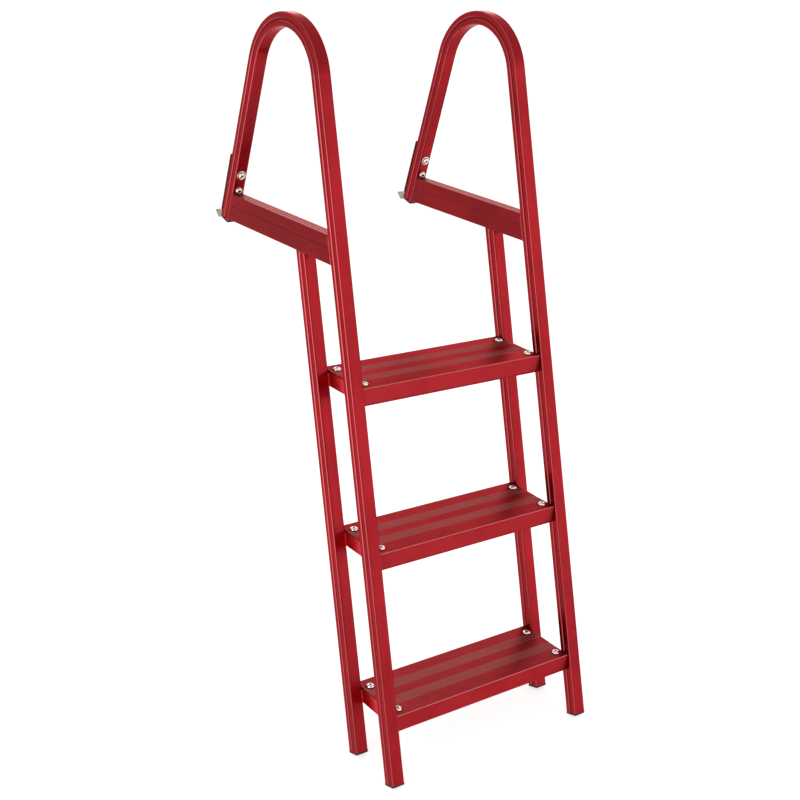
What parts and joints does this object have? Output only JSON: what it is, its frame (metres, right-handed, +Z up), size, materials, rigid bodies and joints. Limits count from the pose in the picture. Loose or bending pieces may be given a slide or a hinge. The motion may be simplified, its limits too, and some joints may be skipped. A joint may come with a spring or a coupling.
{
  "type": "dock ladder",
  "caption": "Leaning dock ladder with level treads, bent handrail hoops and two hooked mounting plates that hang it on a dock edge.",
  "frame": {"origin": "middle of the left mounting plate's back face, on the left handrail's centre plane", "axes": "+X to the right seen from the water, +Y towards the dock, +Z up with the treads level"},
  "size_m": [0.472, 0.6986, 1.3348],
  "materials": {
    "red_anodised": "red anodised, satin",
    "red_tread": "red anodised with fine non-slip ribs",
    "black_plastic": "moulded, matte",
    "plate_metal": "dark stainless strip",
    "lug_metal": "bare cast metal",
    "bolt_steel": "polished stainless steel"
  },
  "bodies": {
    "root": {"left_handrail": "red_anodised", "left_rear_rail": "red_anodised", "left_deck_bar": "red_anodised", "right_handrail": "red_anodised", "right_rear_rail": "red_anodised", "right_deck_bar": "red_anodised", "lower_left_cross_tube": "red_anodised", "lower_right_cross_tube": "red_anodised", "middle_left_cross_tube": "red_anodised", "middle_right_cross_tube": "red_anodised", "upper_left_cross_tube": "red_anodised", "upper_right_cross_tube": "red_anodised", "lower_tread": "red_tread", "middle_tread": "red_tread", "upper_tread": "red_tread", "front_left_foot_cap": "black_plastic", "rear_left_foot_cap": "black_plastic", "front_right_foot_cap": "black_plastic", "rear_right_foot_cap": "black_plastic", "left_hoop_end_cap": "black_plastic", "right_hoop_end_cap": "black_plastic", "left_mounting_plate": "plate_metal", "right_mounting_plate": "plate_metal", "left_hook_lug": "lug_metal", "right_hook_lug": "lug_metal", "lower_tread_bolts": "bolt_steel", "middle_tread_bolts": "bolt_steel", "upper_tread_bolts": "bolt_steel", "left_plate_bolts": "bolt_steel", "right_plate_bolts": "bolt_steel", "left_plate_washers": "bolt_steel", "right_plate_washers": "bolt_steel"}
  },
  "joints": []
}
